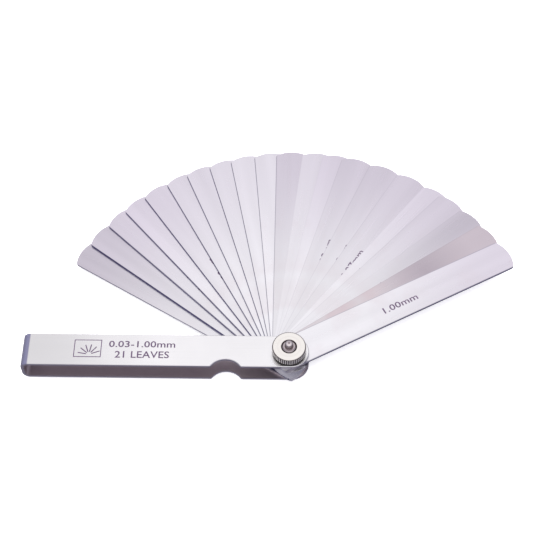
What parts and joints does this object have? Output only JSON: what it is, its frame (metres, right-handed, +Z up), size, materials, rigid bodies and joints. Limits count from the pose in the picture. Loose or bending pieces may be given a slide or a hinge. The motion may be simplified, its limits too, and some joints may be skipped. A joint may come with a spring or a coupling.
{
  "type": "feeler gauge",
  "caption": "Folding thickness gauge: graded steel leaves fan out from a hairpin sheet holder on a pivot screw with a knurled nut, and fold back into it.",
  "frame": {"origin": "on the pivot axis, in the flat outer face of the screw head that the gauge rests on", "axes": "+Z up the pivot axis to the knurled nut, +X away from the holder's tail, +Y to the side the leaves fan out over"},
  "size_m": [0.1842, 0.1032, 0.0173],
  "materials": {
    "holder_plate": "satin nickel-plated steel sheet, polished bright on the outside and darker inside the hairpin",
    "leaf_steel": "hardened spring steel, ground and satin polished",
    "leaf_shim_steel": "thin rolled shim steel, faintly stained by oil",
    "pivot_screw": "turned, nickel-plated steel",
    "spring_washer": "blackish spring steel",
    "knurled_nut": "nickel-plated, turned face and straight-knurled rim"
  },
  "bodies": {
    "holder": {"holder": "holder_plate", "pivot_screw": "pivot_screw"},
    "leaf_090": {"leaf_090": "leaf_steel"},
    "leaf_080": {"leaf_080": "leaf_steel"},
    "leaf_070": {"leaf_070": "leaf_steel"},
    "leaf_060": {"leaf_060": "leaf_steel"},
    "leaf_050": {"leaf_050": "leaf_steel"},
    "leaf_045": {"leaf_045": "leaf_steel"},
    "leaf_040": {"leaf_040": "leaf_steel"},
    "leaf_035": {"leaf_035": "leaf_steel"},
    "leaf_030": {"leaf_030": "leaf_steel"},
    "leaf_025": {"leaf_025": "leaf_steel"},
    "leaf_020": {"leaf_020": "leaf_steel"},
    "leaf_015": {"leaf_015": "leaf_steel"},
    "leaf_010": {"leaf_010": "leaf_steel"},
    "leaf_009": {"leaf_009": "leaf_steel"},
    "leaf_008": {"leaf_008": "leaf_steel"},
    "leaf_007": {"leaf_007": "leaf_steel"},
    "leaf_006": {"leaf_006": "leaf_steel"},
    "leaf_005": {"leaf_005": "leaf_steel"},
    "leaf_004": {"leaf_004": "leaf_shim_steel"},
    "leaf_003": {"leaf_003": "leaf_shim_steel"},
    "leaf_100": {"leaf_100": "leaf_steel"},
    "spring_washer": {"spring_washer": "spring_washer"},
    "knurled_nut": {"knurled_nut": "knurled_nut"}
  },
  "joints": [
    {"name": "leaf_090_turn", "type": "hinge", "parent": "holder", "child": "leaf_090", "pos_m": [0, 0, 0.00287], "axis": [0, 0, 1], "range_deg": [-329, 31]},
    {"name": "leaf_080_turn", "type": "hinge", "parent": "holder", "child": "leaf_080", "pos_m": [0, 0, 0.00374], "axis": [0, 0, 1], "range_deg": [-323, 37]},
    {"name": "leaf_070_turn", "type": "hinge", "parent": "holder", "child": "leaf_070", "pos_m": [0, 0, 0.00451], "axis": [0, 0, 1], "range_deg": [-316.5, 43.5]},
    {"name": "leaf_060_turn", "type": "hinge", "parent": "holder", "child": "leaf_060", "pos_m": [0, 0, 0.00518], "axis": [0, 0, 1], "range_deg": [-311, 49]},
    {"name": "leaf_050_turn", "type": "hinge", "parent": "holder", "child": "leaf_050", "pos_m": [0, 0, 0.00575], "axis": [0, 0, 1], "range_deg": [-305, 55]},
    {"name": "leaf_045_turn", "type": "hinge", "parent": "holder", "child": "leaf_045", "pos_m": [0, 0, 0.00624], "axis": [0, 0, 1], "range_deg": [-298.5, 61.5]},
    {"name": "leaf_040_turn", "type": "hinge", "parent": "holder", "child": "leaf_040", "pos_m": [0, 0, 0.00669], "axis": [0, 0, 1], "range_deg": [-293, 67]},
    {"name": "leaf_035_turn", "type": "hinge", "parent": "holder", "child": "leaf_035", "pos_m": [0, 0, 0.00709], "axis": [0, 0, 1], "range_deg": [-287, 73]},
    {"name": "leaf_030_turn", "type": "hinge", "parent": "holder", "child": "leaf_030", "pos_m": [0, 0, 0.00743], "axis": [0, 0, 1], "range_deg": [-281.5, 78.5]},
    {"name": "leaf_025_turn", "type": "hinge", "parent": "holder", "child": "leaf_025", "pos_m": [0, 0, 0.00773], "axis": [0, 0, 1], "range_deg": [-275.5, 84.5]},
    {"name": "leaf_020_turn", "type": "hinge", "parent": "holder", "child": "leaf_020", "pos_m": [0, 0, 0.00797], "axis": [0, 0, 1], "range_deg": [-270, 90]},
    {"name": "leaf_015_turn", "type": "hinge", "parent": "holder", "child": "leaf_015", "pos_m": [0, 0, 0.00817], "axis": [0, 0, 1], "range_deg": [-263.5, 96.5]},
    {"name": "leaf_010_turn", "type": "hinge", "parent": "holder", "child": "leaf_010", "pos_m": [0, 0, 0.00831], "axis": [0, 0, 1], "range_deg": [-258.5, 101.5]},
    {"name": "leaf_009_turn", "type": "hinge", "parent": "holder", "child": "leaf_009", "pos_m": [0, 0, 0.00843], "axis": [0, 0, 1], "range_deg": [-253.7, 106.3]},
    {"name": "leaf_008_turn", "type": "hinge", "parent": "holder", "child": "leaf_008", "pos_m": [0, 0, 0.00853], "axis": [0, 0, 1], "range_deg": [-246.6, 113.4]},
    {"name": "leaf_007_turn", "type": "hinge", "parent": "holder", "child": "leaf_007", "pos_m": [0, 0, 0.00863], "axis": [0, 0, 1], "range_deg": [-239.4, 120.6]},
    {"name": "leaf_006_turn", "type": "hinge", "parent": "holder", "child": "leaf_006", "pos_m": [0, 0, 0.00871], "axis": [0, 0, 1], "range_deg": [-232, 128]},
    {"name": "leaf_005_turn", "type": "hinge", "parent": "holder", "child": "leaf_005", "pos_m": [0, 0, 0.00878], "axis": [0, 0, 1], "range_deg": [-227.5, 132.5]},
    {"name": "leaf_004_turn", "type": "hinge", "parent": "holder", "child": "leaf_004", "pos_m": [0, 0, 0.00885], "axis": [0, 0, 1], "range_deg": [-221, 139]},
    {"name": "leaf_003_turn", "type": "hinge", "parent": "holder", "child": "leaf_003", "pos_m": [0, 0, 0.0089], "axis": [0, 0, 1], "range_deg": [-215, 145]},
    {"name": "leaf_100_turn", "type": "hinge", "parent": "holder", "child": "leaf_100", "pos_m": [0, 0, 0.00944], "axis": [0, 0, 1], "range_deg": [-208.5, 151.5]},
    {"name": "washer_rise", "type": "slide", "parent": "holder", "child": "spring_washer", "axis": [0, 0, 1], "range_m": [0, 0.001]},
    {"name": "nut_turn", "type": "hinge", "parent": "spring_washer", "child": "knurled_nut", "pos_m": [0, 0, 0.01196], "axis": [0, 0, 1], "range_deg": [0, 450]}
  ],
  "couplings": [
    {"joint": "nut_turn", "follows": "washer_rise", "rad_per_m": 7854}
  ]
}
